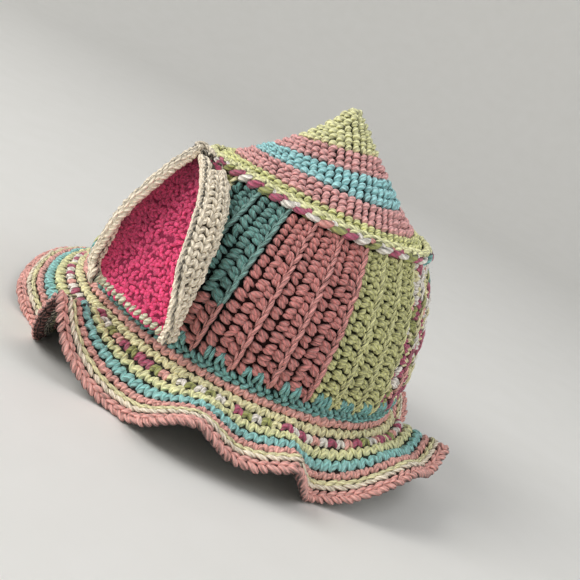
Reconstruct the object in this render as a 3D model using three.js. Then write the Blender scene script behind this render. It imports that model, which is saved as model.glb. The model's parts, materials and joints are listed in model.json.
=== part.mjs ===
import * as THREE from 'three';
import { mergeVertices } from 'three/addons/utils/BufferGeometryUtils.js';

// A crochet pixie hat: ribbed band, striped pointed cone, ruffled brim and two cupped ears.
// Millimetres, +Z up, front towards -Y. The low lobes of the brim rest on z = 0.

// Driving sizes of the fabric
const wall = 4.5;
const gap = 0.3;

// Driving sizes of the band and cone, as half lengths from the middle
const bandBottomLength = 104.5;
const bandBottomWidth = 97;
const seamLength = 72.5;
const seamWidth = 69;
const bandHeight = 86;
const seamBack = 9;
const seamFrontDip = 6;
const coneHeight = 54;
const tipBack = 3.5;

// Driving sizes of the band, of its ribs, of the braid on the seam and of the round under the band
const bandParts = 48;
const ribHeight = 1.8;
const braidRadius = 3.4;
const coneInset = 1.5 * braidRadius + gap;
const baseRoundHeight = 5.5;
const baseRoundOverhang = 0.6;

// Driving sizes of the brim
const brimWidth = 47;
const restHeight = 43.6;
const brimStartDroop = 72;
const brimTurnShare = 0.34;
const brimParts = 10;

// Driving sizes of the ears
const earAngle = -14;
const earHeight = 89.5;
const earHalfWidth = 40.5;
const earRollRadius = 14.5;
const earRollTurn = 145;
const earFlatShare = 0.3;
const earWall = 3.2;
const earLiningWall = 2;
const earEdgeRadius = 2;
const earEdgeGap = 0.7;
const earClearance = 0.7;
const earBraidShare = 0.7;
const earLiningTop = 0.8;

// Counts of facets
const brimColumns = 96;
const coneColumns = 28;
const ringColumns = 48;
const braidSides = 6;
const earColumns = 14;

// Small distances: for finding a normal, for keeping inside the ends of a table, for merging corners
const normalStep = 0.02;
const tableMargin = 0.01;
const mergeDistance = 0.0001;

const fullTurn = Math.PI * 2;
const degree = Math.PI / 180;
const bandFloor = restHeight;
const seamFloor = bandFloor + bandHeight + braidRadius;

// Yarn colours and finish
const yarnRoughness = 0.92;
const yarn = {
  lime: '#d9db9a',
  rose: '#dc8a80',
  turquoise: '#7cc0bc',
  confetti: '#d9cfc4',
  cream: '#e1d8c8',
  yellow: '#e4dfaa',
  pink: '#cd4669',
};

// The band from its bottom to the seam: share of the height, then how far each size has gone
// from its value at the bottom to its value at the seam
const bandLevels = [
  { height: 0, length: 0, width: 0, back: 0.1 },
  { height: 0.22, length: 0.08, width: -0.02, back: 0.4 },
  { height: 0.5, length: 0.3, width: 0.12, back: 0.75 },
  { height: 0.78, length: 0.62, width: 0.48, back: 0.97 },
  { height: 1, length: 1, width: 1, back: 1 },
];

// The cone from the seam to its tip: share of the height, share of the seam's size and
// how far the middle has gone from the seam's middle to the tip's
const coneLevels = [
  { height: 0, size: 1, lean: 0 },
  { height: 0.17, size: 0.78, lean: 0 },
  { height: 0.38, size: 0.56, lean: 0.03 },
  { height: 0.56, size: 0.39, lean: 0.12 },
  { height: 0.74, size: 0.235, lean: 0.4 },
  { height: 0.88, size: 0.13, lean: 0.72 },
  { height: 0.97, size: 0.065, lean: 0.95 },
  { height: 1, size: 0, lean: 1 },
];

// The cone's stripes, named from the seam up, with the share of the height where each ends
const coneStripes = [
  { name: 'cone_lime_lower', colour: 'lime', from: 0, to: 0.1 },
  { name: 'cone_rose_lower', colour: 'rose', from: 0.1, to: 0.22 },
  { name: 'cone_turquoise', colour: 'turquoise', from: 0.22, to: 0.383 },
  { name: 'cone_rose_upper', colour: 'rose', from: 0.383, to: 0.6 },
  { name: 'cone_tip_lime', colour: 'lime', from: 0.6, to: 1 },
];

// The cone's rounds rise towards the back: share of the height, then how far a round rises
const coneTilts = [
  { height: 0, tilt: 0 },
  { height: 0.1, tilt: 0 },
  { height: 0.22, tilt: 0.022 },
  { height: 0.383, tilt: 0.083 },
  { height: 0.6, tilt: 0.08 },
  { height: 1, tilt: 0 },
];

// The band's panels follow each other round the hat in this order, from this angle: how many
// parts of the round each takes up, and its ribs
const panelOrder = [
  { colour: 'turquoise', parts: 4, ribs: 2 },
  { colour: 'rose', parts: 5, ribs: 3 },
  { colour: 'lime', parts: 4, ribs: 3 },
  { colour: 'confetti', parts: 3, ribs: 2 },
];
const panelStart = -18;

// The brim's waves: angle round the hat, how steeply the edge droops there in degrees, and how
// sharply it folds, from a rounded wave to a crease
const brimWaves = [
  { angle: -157, droop: 49, sharp: 0 },
  { angle: -137, droop: 6, sharp: 0.4 },
  { angle: -118, droop: 49, sharp: 0 },
  { angle: -92, droop: 28, sharp: 0 },
  { angle: -54, droop: 38, sharp: 0 },
  { angle: -35, droop: 57, sharp: 0 },
  { angle: -19, droop: -14, sharp: 1 },
  { angle: 3, droop: 50, sharp: 0 },
  { angle: 22, droop: 8, sharp: 0.2 },
  { angle: 33, droop: 26, sharp: 0 },
  { angle: 45, droop: 12, sharp: 0.6 },
  { angle: 56, droop: 47, sharp: 0 },
  { angle: 80, droop: 1, sharp: 0 },
  { angle: 92, droop: 9, sharp: 0 },
  { angle: 102, droop: -4, sharp: 0.2 },
  { angle: 122, droop: 49, sharp: 0 },
  { angle: 142, droop: 8, sharp: 0.5 },
  { angle: 163, droop: 49, sharp: 0 },
  { angle: 183, droop: 8, sharp: 0.3 },
];

// The brim's rounds by colour group: share of the brim's width and rows of facets
const brimBands = [
  { name: 'brim_inner', colour: 'yellow', from: 0, to: 0.375, rows: 3 },
  { name: 'brim_middle', colour: 'turquoise', from: 0.375, to: 0.75, rows: 3 },
  { name: 'brim_edge', colour: 'rose', from: 0.75, to: 1, rows: 2 },
];

// An ear from its base to its tip: share of the height, then of its half width and of the radius of
// its rolled sides, how far it leans to the back as a share of its half width, how far the section
// has gone from the bend of the band to its own flat middle, and the share of the roll's turn
const earLevels = [
  { height: 0, width: 0.8, roll: 0.55, lean: 0.13, open: 0, curl: 0.75 },
  { height: 0.05, width: 0.83, roll: 0.59, lean: 0.1, open: 0.15, curl: 0.71 },
  { height: 0.12, width: 0.88, roll: 0.65, lean: 0.035, open: 0.35, curl: 0.66 },
  { height: 0.27, width: 0.845, roll: 0.735, lean: 0.055, open: 0.75, curl: 0.77 },
  { height: 0.45, width: 0.805, roll: 0.83, lean: 0.015, open: 1, curl: 0.91 },
  { height: 0.62, width: 0.735, roll: 0.85, lean: -0.085, open: 1, curl: 0.975 },
  { height: 0.8, width: 0.58, roll: 0.8, lean: -0.2, open: 1, curl: 1 },
  { height: 0.9, width: 0.44, roll: 0.72, lean: -0.335, open: 1, curl: 1 },
  { height: 0.96, width: 0.29, roll: 0.55, lean: -0.5, open: 1, curl: 1 },
  { height: 1, width: 0.16, roll: 0.33, lean: -0.66, open: 1, curl: 1 },
];

// Value of a column of a table at a place between its rows
function between(table, place, key, column) {
  let row = 0;
  while (row < table.length - 2 && place > table[row + 1][key]) {
    row += 1;
  }
  const low = table[row];
  const high = table[row + 1];
  const share = THREE.MathUtils.clamp((place - low[key]) / (high[key] - low[key]), 0, 1);
  return THREE.MathUtils.lerp(low[column], high[column], share);
}

// Evenly spaced numbers from one value to another
function steps(from, to, count) {
  return Array.from({ length: count + 1 }, (_, index) => from + ((to - from) * index) / count);
}

// Half length, half width and middle of the band at a share of its height
function bandRing(height) {
  const { lerp } = THREE.MathUtils;
  const lengthShare = between(bandLevels, height, 'height', 'length');
  const widthShare = between(bandLevels, height, 'height', 'width');
  return {
    length: lerp(bandBottomLength, seamLength, lengthShare),
    width: lerp(bandBottomWidth, seamWidth, widthShare),
    back: seamBack * between(bandLevels, height, 'height', 'back'),
  };
}

// Direction straight out from an oval ring at an angle
function ringNormal(ring, angle) {
  return new THREE.Vector3(Math.cos(angle) / ring.width, Math.sin(angle) / ring.length, 0).normalize();
}

function ringPoint(ring, angle, floor) {
  return new THREE.Vector3(ring.width * Math.cos(angle), ring.back + ring.length * Math.sin(angle), floor);
}

// How far the seam lies lower at an angle, because the crown dips at the front
function seamDip(angle) {
  return seamFrontDip * Math.max(0, -Math.sin(angle)) ** 2;
}

function bandPoint(angle, height) {
  return ringPoint(bandRing(height), angle, bandFloor + (bandHeight - seamDip(angle)) * height);
}

// A point at a distance out from a surface given by two numbers, with its normal found by small steps
function offsetPoint(surface, across, along, distance) {
  const sideways = surface(across + normalStep, along).sub(surface(across - normalStep, along));
  const upwards = surface(across, along + normalStep).sub(surface(across, along - normalStep));
  const normal = sideways.cross(upwards).normalize();
  return surface(across, along).addScaledVector(normal, distance);
}

// A closed body between an outer and an inner grid of points, open or joined round
function gridBody(outer, inner, joined) {
  const rows = outer.length;
  const columns = outer[0].length;
  const points = [...outer.flat(), ...inner.flat()];
  const index = (side, row, column) => side * rows * columns + row * columns + (column % columns);
  const faces = [];
  const quad = (a, b, c, d) => faces.push(a, b, c, a, c, d);
  const lastColumn = joined ? columns : columns - 1;
  for (let row = 0; row < rows - 1; row += 1) {
    for (let column = 0; column < lastColumn; column += 1) {
      const corners = [[row, column], [row, column + 1], [row + 1, column + 1], [row + 1, column]];
      const [a, b, c, d] = corners.map(([r, k]) => index(0, r, k));
      const [e, f, g, h] = corners.map(([r, k]) => index(1, r, k));
      quad(a, b, c, d);
      quad(e, h, g, f);
    }
  }
  for (let column = 0; column < lastColumn; column += 1) {
    const top = rows - 1;
    quad(index(0, 0, column), index(1, 0, column), index(1, 0, column + 1), index(0, 0, column + 1));
    const [a, b] = [index(0, top, column), index(0, top, column + 1)];
    quad(a, b, index(1, top, column + 1), index(1, top, column));
  }
  if (!joined) {
    const end = columns - 1;
    for (let row = 0; row < rows - 1; row += 1) {
      quad(index(0, row, 0), index(0, row + 1, 0), index(1, row + 1, 0), index(1, row, 0));
      quad(index(0, row, end), index(1, row, end), index(1, row + 1, end), index(0, row + 1, end));
    }
  }
  return bodyFromFaces(points, faces);
}

// Geometry with shared corners merged and faces of no area left out
function bodyFromFaces(points, faces) {
  const raw = new THREE.BufferGeometry();
  const numbers = points.flatMap((point) => point.toArray());
  raw.setAttribute('position', new THREE.Float32BufferAttribute(numbers, 3));
  raw.setIndex(faces);
  const merged = mergeVertices(raw, mergeDistance);
  const kept = [];
  const corner = merged.index.array;
  for (let face = 0; face < corner.length; face += 3) {
    const [a, b, c] = [corner[face], corner[face + 1], corner[face + 2]];
    if (a !== b && b !== c && c !== a) {
      kept.push(a, b, c);
    }
  }
  merged.setIndex(kept);
  merged.computeVertexNormals();
  return merged;
}

function yarnMesh(name, colour, geometry) {
  const finish = { color: yarn[colour], roughness: yarnRoughness, metalness: 0 };
  const material = new THREE.MeshStandardMaterial(finish);
  const mesh = new THREE.Mesh(geometry, material);
  mesh.name = name;
  return mesh;
}

// One ribbed panel of the band: each rib is a flat strip and a ridge beside it
const ribShares = [
  { place: 0, rise: 0 },
  { place: 0.4, rise: 0 },
  { place: 0.7, rise: 0 },
  { place: 0.88, rise: 1 },
];

function bandPanel(name, colour, firstPart, parts, ribs) {
  const partTurn = fullTurn / bandParts;
  const panelTurn = parts * partTurn;
  const ribTurn = panelTurn / ribs;
  const halfGap = gap / 2 / seamWidth;
  const columns = [];
  for (let rib = 0; rib < ribs; rib += 1) {
    ribShares.forEach(({ place, rise }) => columns.push({ turn: (rib + place) * ribTurn, rise }));
  }
  columns.push({ turn: panelTurn, rise: 0 });
  columns[0].turn = halfGap;
  columns[columns.length - 1].turn = panelTurn - halfGap;
  const start = panelStart * degree + firstPart * partTurn;
  const place = (height, distance) => columns.map(({ turn, rise }) => {
    const safeHeight = THREE.MathUtils.clamp(height, tableMargin, 1 - tableMargin);
    const lift = distance < 0 ? distance : rise * ribHeight;
    const out = offsetPoint(bandPoint, start + turn, safeHeight, lift);
    out.z += (bandHeight - seamDip(start + turn)) * (height - safeHeight);
    out.z = Math.max(out.z, bandFloor);
    return out;
  });
  const heights = bandLevels.map((level) => level.height);
  const outer = heights.map((height) => place(height, 0));
  const inner = heights.map((height) => place(height, -wall));
  return yarnMesh(name, colour, gridBody(outer, inner, false));
}

// A rounded braid that runs along the seam between the band and the cone
function crownBraid() {
  const ring = bandRing(1);
  const rows = steps(0, fullTurn, ringColumns).slice(0, -1).map((angle) => {
    const middle = ringPoint(ring, angle, seamFloor - seamDip(angle));
    middle.addScaledVector(ringNormal(ring, angle), -braidRadius / 2);
    return steps(0, fullTurn, braidSides).slice(0, -1).map((side) => middle.clone()
      .addScaledVector(ringNormal(ring, angle), braidRadius * Math.cos(side))
      .add(new THREE.Vector3(0, 0, (braidRadius - gap) * Math.sin(side))));
  });
  return yarnMesh('crown_braid', 'confetti', tubeBody(rows, true));
}

// A tube from sections that follow each other, joined into a loop or with flat ends
function tubeBody(rows, joined) {
  const count = rows.length;
  const sides = rows[0].length;
  const faces = [];
  const lastRow = joined ? count : count - 1;
  for (let row = 0; row < lastRow; row += 1) {
    const next = (row + 1) % count;
    for (let side = 0; side < sides; side += 1) {
      const turn = (side + 1) % sides;
      const [a, b] = [row * sides + side, next * sides + side];
      const [c, d] = [next * sides + turn, row * sides + turn];
      faces.push(a, b, c, a, c, d);
    }
  }
  if (!joined) {
    const end = (count - 1) * sides;
    for (let side = 1; side < sides - 1; side += 1) {
      faces.push(0, side, side + 1, end, end + side + 1, end + side);
    }
  }
  return bodyFromFaces(rows.flat(), faces);
}

// The cone's outer surface, and the drop to its inner one
const coneFloor = seamFloor + braidRadius / 2;
const coneDrop = wall / Math.cos(Math.atan2(coneHeight, seamLength));

function conePoint(angle, height) {
  const size = between(coneLevels, height, 'height', 'size');
  const lean = between(coneLevels, height, 'height', 'lean');
  const ring = {
    length: (seamLength - coneInset) * size,
    width: (seamWidth - coneInset) * size,
    back: THREE.MathUtils.lerp(seamBack, tipBack, lean),
  };
  return ringPoint(ring, angle, coneFloor + coneHeight * height - seamDip(angle) * (1 - height));
}

function roundPoint(angle, height) {
  const tilt = between(coneTilts, height, 'height', 'tilt');
  return conePoint(angle, height + tilt * Math.sin(angle));
}

function coneStripe({ name, colour, from, to }) {
  const halfGap = gap / 2 / coneHeight;
  const low = from === 0 ? 0 : from + halfGap;
  const high = to === 1 ? 1 : to - halfGap;
  const inside = coneLevels.map((level) => level.height).filter((height) => height > low && height < high);
  const heights = [low, ...inside, high];
  const angles = steps(0, fullTurn, coneColumns).slice(0, -1);
  const outer = heights.map((height) => angles.map((angle) => roundPoint(angle, height)));
  const down = new THREE.Vector3(0, 0, -coneDrop);
  const inner = outer.map((row) => row.map((point) => point.clone().add(down)));
  return yarnMesh(name, colour, gridBody(outer, inner, true));
}

// Droop of the brim's edge at an angle, eased between the rows of the waves
function edgeDroop(angle) {
  const first = brimWaves[0];
  const loop = [...brimWaves, { ...first, angle: first.angle + 360 }];
  const place = THREE.MathUtils.euclideanModulo(angle / degree - first.angle, 360) + first.angle;
  const row = loop.findIndex((wave, index) => index > 0 && place <= wave.angle);
  const low = loop[row - 1];
  const high = loop[row];
  const share = (place - low.angle) / (high.angle - low.angle);
  const round = (1 - Math.cos(Math.PI * share)) / 2;
  const creaseLow = Math.sin((Math.PI / 2) * share);
  const creaseHigh = 1 - Math.cos((Math.PI / 2) * share);
  const eased = round + low.sharp * (creaseLow - round) + high.sharp * (creaseHigh - round);
  return THREE.MathUtils.lerp(low.droop, high.droop, eased);
}

// The middle of the brim's fabric: it leaves the base round steeply and turns to the edge's droop
const brimFloor = bandFloor - baseRoundHeight - gap;

function brimPoint(angle, share) {
  const ring = bandRing(0);
  const normal = ringNormal(ring, angle);
  const droop = edgeDroop(angle);
  const point = ringPoint(ring, angle, brimFloor).addScaledVector(normal, -wall / 2);
  const reach = (brimWidth * share) / brimParts;
  for (let part = 0; part < brimParts; part += 1) {
    const along = (share * (part + 0.5)) / brimParts;
    const turned = 1 - (1 - Math.min(along / brimTurnShare, 1)) ** 2;
    const slope = THREE.MathUtils.lerp(brimStartDroop, droop, turned) * degree;
    point.addScaledVector(normal, reach * Math.cos(slope));
    point.z -= reach * Math.sin(slope);
  }
  return point;
}

function brimBand({ name, colour, from, to, rows }) {
  const halfGap = gap / 2 / brimWidth;
  const low = from === 0 ? 0 : from + halfGap;
  const high = to === 1 ? 1 : to - halfGap;
  const angles = steps(0, fullTurn, brimColumns).slice(0, -1);
  const layer = (distance) => steps(low, high, rows).map((share) => angles.map((angle) => {
    const point = offsetPoint(brimPoint, angle, share, distance);
    point.z = THREE.MathUtils.clamp(point.z, 0, brimFloor);
    return point;
  }));
  return yarnMesh(name, colour, gridBody(layer(wall / 2), layer(-wall / 2), true));
}

// The turquoise round that joins the band to the brim
function baseRound() {
  const ring = bandRing(0);
  const angles = steps(0, fullTurn, ringColumns).slice(0, -1);
  const floors = [brimFloor + gap, bandFloor - gap];
  const layer = (distance) => floors.map((floor) => angles.map(
    (angle) => ringPoint(ring, angle, floor).addScaledVector(ringNormal(ring, angle), distance),
  ));
  return yarnMesh('base_round', 'turquoise', gridBody(layer(baseRoundOverhang), layer(-wall), true));
}

// The back surface of an ear: a middle that leaves the band's bend upwards, and two rolled sides
function earPoint(side, sweep, height) {
  const middleAngle = earAngle * degree;
  const level = (column) => between(earLevels, height, 'height', column);
  const bandShare = (earHeight * height) / bandHeight;
  const ring = bandRing(Math.min(bandShare, 1));
  const base = bandRing(0);
  const out = ringNormal(ring, middleAngle);
  const sideways = new THREE.Vector3(-out.y, out.x, 0);
  const roll = earRollRadius * level('roll');
  const flat = earHalfWidth * level('width') - roll;
  const share = Math.abs(sweep);
  const curl = earRollTurn * level('curl') * degree;
  const turn = (Math.max(share - earFlatShare, 0) / (1 - earFlatShare)) * curl;
  const reach = flat * Math.min(share / earFlatShare, 1) + roll * Math.sin(turn);
  const across = Math.sign(sweep) * reach + earHalfWidth * level('lean');
  const cup = roll * (1 - Math.cos(turn));
  const bendRadius = base.length ** 2 / base.width;
  const bend = Math.sqrt(bendRadius ** 2 - across ** 2) - bendRadius;
  const overBraid = braidRadius * THREE.MathUtils.smoothstep(bandShare, earBraidShare, 1);
  const stand = ribHeight + earClearance + overBraid;
  const point = ringPoint(ring, middleAngle, bandFloor + gap + earHeight * height);
  point.addScaledVector(out, stand + cup + bend * (1 - level('open')));
  point.addScaledVector(sideways, across);
  if (side < 0) {
    point.x = -point.x;
  }
  return point;
}

const earSides = [
  { name: 'left', side: 1 },
  { name: 'right', side: -1 },
];

function earSkinPoint(side, sweep, height, depth) {
  const surface = (across, along) => earPoint(side, across, along);
  const safe = THREE.MathUtils.clamp(height, tableMargin, 1 - tableMargin);
  const point = offsetPoint(surface, sweep, safe, side * depth);
  point.z += earHeight * (height - safe);
  return point;
}

// Rows of corners of an ear's surface at a depth, over all of it or only over the lining's part.
// The right ear's rows start at its tip, so that its faces point outwards too.
const earHeights = earLevels.map((level) => level.height);
const earSweeps = steps(-1, 1, earColumns);
const liningHeights = earHeights.slice(1).filter((height) => height <= earLiningTop);
const liningSweeps = earSweeps.slice(1, -1);

function earSkin(side, depth, heights, sweeps) {
  const rows = heights.map((height) => sweeps.map((sweep) => earSkinPoint(side, sweep, height, depth)));
  return side > 0 ? rows : rows.toReversed();
}

// The rolled edge that runs up one rim of an ear, over its tip and down the other
function earEdging(side) {
  const rim = [
    ...earHeights.map((height) => ({ sweep: 1, height })),
    ...liningSweeps.toReversed().map((sweep) => ({ sweep, height: 1 })),
    ...earHeights.toReversed().map((height) => ({ sweep: -1, height })),
  ];
  const edge = rim.map(({ sweep, height }) => earSkinPoint(side, sweep, height, earWall / 2));
  const rows = rim.map(({ sweep, height }, index) => {
    const before = edge[Math.max(index - 1, 0)];
    const after = edge[Math.min(index + 1, edge.length - 1)];
    const along = after.clone().sub(before);
    const through = earSkinPoint(side, sweep, height, earWall).sub(edge[index]).normalize();
    const out = along.cross(through).multiplyScalar(side).normalize();
    const middle = edge[index].clone().addScaledVector(out, earEdgeRadius + earEdgeGap);
    return steps(0, fullTurn, braidSides).slice(0, -1).map((angle) => middle.clone()
      .addScaledVector(out, earEdgeRadius * Math.cos(angle))
      .addScaledVector(through, side * earEdgeRadius * Math.sin(angle)));
  });
  return tubeBody(rows, false);
}

function earPieces({ name, side }) {
  const skins = [
    earSkin(side, 0, earHeights, earSweeps),
    earSkin(side, earWall, earHeights, earSweeps),
    earSkin(side, earWall + gap, liningHeights, liningSweeps),
    earSkin(side, earWall + gap + earLiningWall, liningHeights, liningSweeps),
  ];
  const [back, front, liningBack, lining] = skins;
  return [
    yarnMesh(`ear_${name}_shell`, 'cream', gridBody(front, back, false)),
    yarnMesh(`ear_${name}_lining`, 'pink', gridBody(lining, liningBack, false)),
    yarnMesh(`ear_${name}_edging`, 'cream', earEdging(side)),
  ];
}

const hat = new THREE.Group();
coneStripes.forEach((stripe) => hat.add(coneStripe(stripe)));
hat.add(crownBraid());
let firstPart = 0;
for (let number = 1; firstPart < bandParts; number += 1) {
  panelOrder.forEach(({ colour, parts, ribs }) => {
    hat.add(bandPanel(`band_${colour}_${number}`, colour, firstPart, parts, ribs));
    firstPart += parts;
  });
}
hat.add(baseRound());
brimBands.forEach((band) => hat.add(brimBand(band)));
earSides.forEach((ear) => hat.add(...earPieces(ear)));

// The middle of the hat's outline stands over the origin
const middle = new THREE.Box3().setFromObject(hat).getCenter(new THREE.Vector3());
hat.position.set(-middle.x, -middle.y, 0);

export default hat;
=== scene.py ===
import json
import math

import bpy
import numpy as np
from mathutils import Matrix, Vector

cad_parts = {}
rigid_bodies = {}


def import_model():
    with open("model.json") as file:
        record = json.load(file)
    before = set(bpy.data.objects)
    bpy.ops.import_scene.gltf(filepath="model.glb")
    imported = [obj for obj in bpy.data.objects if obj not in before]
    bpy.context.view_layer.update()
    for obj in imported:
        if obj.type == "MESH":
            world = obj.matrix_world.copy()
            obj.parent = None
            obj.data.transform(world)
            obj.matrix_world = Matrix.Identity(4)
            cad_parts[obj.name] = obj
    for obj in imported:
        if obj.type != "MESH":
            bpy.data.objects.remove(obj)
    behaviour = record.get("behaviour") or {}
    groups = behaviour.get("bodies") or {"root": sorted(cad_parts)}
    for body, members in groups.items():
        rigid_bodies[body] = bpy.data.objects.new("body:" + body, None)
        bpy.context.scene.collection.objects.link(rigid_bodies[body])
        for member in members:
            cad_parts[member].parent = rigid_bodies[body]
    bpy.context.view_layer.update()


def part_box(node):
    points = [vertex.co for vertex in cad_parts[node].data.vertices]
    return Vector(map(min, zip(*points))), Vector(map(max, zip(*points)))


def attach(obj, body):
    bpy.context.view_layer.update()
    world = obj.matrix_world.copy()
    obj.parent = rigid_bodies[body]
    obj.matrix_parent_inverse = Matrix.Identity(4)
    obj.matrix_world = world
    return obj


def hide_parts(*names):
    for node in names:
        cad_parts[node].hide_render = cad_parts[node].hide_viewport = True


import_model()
scene = bpy.context.scene
mm = 0.001
degree = math.pi / 180
fullTurn = 2 * math.pi

# The hat's form, in metres: every loop of yarn lies on one of its surfaces
hat = {
    "wall": 4.5 * mm,
    "bandBottomLength": 104.5 * mm,
    "bandBottomWidth": 97 * mm,
    "seamLength": 72.5 * mm,
    "seamWidth": 69 * mm,
    "bandHeight": 86 * mm,
    "seamBack": 9 * mm,
    "seamFrontDip": 6 * mm,
    "coneHeight": 54 * mm,
    "tipBack": 3.5 * mm,
    "ribHeight": 1.8 * mm,
    "braidRadius": 3.4 * mm,
    "baseRoundHeight": 5.5 * mm,
    "brimWidth": 47 * mm,
    "restHeight": 43.6 * mm,
    "brimStartDroop": 72,
    "brimTurnShare": 0.34,
    "gap": 0.3 * mm,
}

baseLow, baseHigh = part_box("base_round")
axisX = (baseLow.x + baseHigh.x) / 2
axisY = (baseLow.y + baseHigh.y) / 2 - 0.1 * hat["seamBack"]
bandFloor = hat["restHeight"]
seamFloor = bandFloor + hat["bandHeight"] + hat["braidRadius"]
coneFloor = seamFloor + hat["braidRadius"] / 2
brimFloor = bandFloor - hat["baseRoundHeight"] - hat["gap"]
coneInset = 1.5 * hat["braidRadius"] + hat["gap"]

# height, length, width, back
bandLevels = np.array([
    (0, 0, 0, 0.1),
    (0.22, 0.08, -0.02, 0.4),
    (0.5, 0.3, 0.12, 0.75),
    (0.78, 0.62, 0.48, 0.97),
    (1, 1, 1, 1),
])

# height, size, lean
coneLevels = np.array([
    (0, 1, 0),
    (0.17, 0.78, 0),
    (0.38, 0.56, 0.03),
    (0.56, 0.39, 0.12),
    (0.74, 0.235, 0.4),
    (0.88, 0.13, 0.72),
    (0.97, 0.065, 0.95),
    (1, 0, 1),
])

# height, tilt: the cone's rounds rise towards the back
coneTilts = np.array([(0, 0), (0.1, 0), (0.22, 0.022), (0.383, 0.083), (0.6, 0.08), (1, 0)])

# angle, droop, sharp
brimWaves = np.array([
    (-157, 49, 0), (-137, 6, 0.4), (-118, 49, 0), (-92, 28, 0), (-54, 38, 0), (-35, 57, 0),
    (-19, -14, 1), (3, 50, 0), (22, 8, 0.2), (33, 26, 0), (45, 12, 0.6), (56, 47, 0),
    (80, 1, 0), (92, 9, 0), (102, -4, 0.2), (122, 49, 0), (142, 8, 0.5), (163, 49, 0),
    (183, 8, 0.3), (203, 49, 0),
])

# height, width, roll, lean, open, curl
earLevels = np.array([
    (0, 0.8, 0.55, 0.13, 0, 0.75),
    (0.05, 0.83, 0.59, 0.1, 0.15, 0.71),
    (0.12, 0.88, 0.65, 0.035, 0.35, 0.66),
    (0.27, 0.845, 0.735, 0.055, 0.75, 0.77),
    (0.45, 0.805, 0.83, 0.015, 1, 0.91),
    (0.62, 0.735, 0.85, -0.085, 1, 0.975),
    (0.8, 0.58, 0.8, -0.2, 1, 1),
    (0.9, 0.44, 0.72, -0.335, 1, 1),
    (0.96, 0.29, 0.55, -0.5, 1, 1),
    (1, 0.16, 0.33, -0.66, 1, 1),
])

ear = {
    "angle": -14,
    "height": 89.5 * mm,
    "halfWidth": 40.5 * mm,
    "rollRadius": 14.5 * mm,
    "rollTurn": 145,
    "flatShare": 0.3,
    "wall": 3.2 * mm,
    "clearance": 0.7 * mm,
    "braidShare": 0.7,
}


def column(table, place, index):
    return np.interp(place, table[:, 0], table[:, index])


def mix(low, high, share):
    return low + (high - low) * share


def bandRing(height):
    length = mix(hat["bandBottomLength"], hat["seamLength"], column(bandLevels, height, 1))
    width = mix(hat["bandBottomWidth"], hat["seamWidth"], column(bandLevels, height, 2))
    return width, length, hat["seamBack"] * column(bandLevels, height, 3)


def onRing(width, length, back, angle, floor):
    x = axisX + width * np.cos(angle)
    y = axisY + back + length * np.sin(angle)
    return np.stack(np.broadcast_arrays(x, y, floor), -1)


def seamDip(angle):
    return hat["seamFrontDip"] * np.maximum(0, -np.sin(angle)) ** 2


def bandSurface(angle, height):
    width, length, back = bandRing(height)
    return onRing(width, length, back, angle, bandFloor + (hat["bandHeight"] - seamDip(angle)) * height)


def coneSurface(angle, height):
    size = column(coneLevels, height, 1)
    back = mix(hat["seamBack"], hat["tipBack"], column(coneLevels, height, 2))
    floor = coneFloor + hat["coneHeight"] * height - seamDip(angle) * (1 - height)
    width, length = ((hat[key] - coneInset) * size for key in ("seamWidth", "seamLength"))
    return onRing(width, length, back, angle, floor)


def coneRound(angle, height):
    return coneSurface(angle, height + column(coneTilts, height, 1) * np.sin(angle))


# Droop of the brim's edge, eased between the waves, from round ones to sharp folds
def edgeDroop(angle):
    place = np.mod(np.asarray(angle) / degree - brimWaves[0, 0], 360) + brimWaves[0, 0]
    row = np.clip(np.searchsorted(brimWaves[:, 0], place, side="left"), 1, len(brimWaves) - 1)
    low, high = brimWaves[row - 1], brimWaves[row]
    share = (place - low[..., 0]) / (high[..., 0] - low[..., 0])
    smooth = (1 - np.cos(math.pi * share)) / 2
    creaseLow = np.sin(math.pi / 2 * share)
    creaseHigh = 1 - np.cos(math.pi / 2 * share)
    eased = smooth + low[..., 2] * (creaseLow - smooth) + high[..., 2] * (creaseHigh - smooth)
    return mix(low[..., 1], high[..., 1], eased)


# Goes round clockwise, so that its normal points up
def brimSurface(clockwise, share):
    angle, share = np.broadcast_arrays(-np.asarray(clockwise, float), np.asarray(share, float))
    width, length, back = bandRing(0)
    outX, outY = np.cos(angle) / width, np.sin(angle) / length
    size = np.hypot(outX, outY)
    outX, outY = outX / size, outY / size
    droop = edgeDroop(angle)
    parts = 10
    reach = hat["brimWidth"] * share / parts
    away = np.full(angle.shape, -hat["wall"] / 2)
    down = np.zeros(angle.shape)
    for part in range(parts):
        along = share * (part + 0.5) / parts
        turned = 1 - (1 - np.minimum(along / hat["brimTurnShare"], 1)) ** 2
        slope = mix(hat["brimStartDroop"], droop, turned) * degree
        away = away + reach * np.cos(slope)
        down = down + reach * np.sin(slope)
    start = onRing(width, length, back, angle, brimFloor)
    return start + np.stack([outX * away, outY * away, -down], -1)


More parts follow.
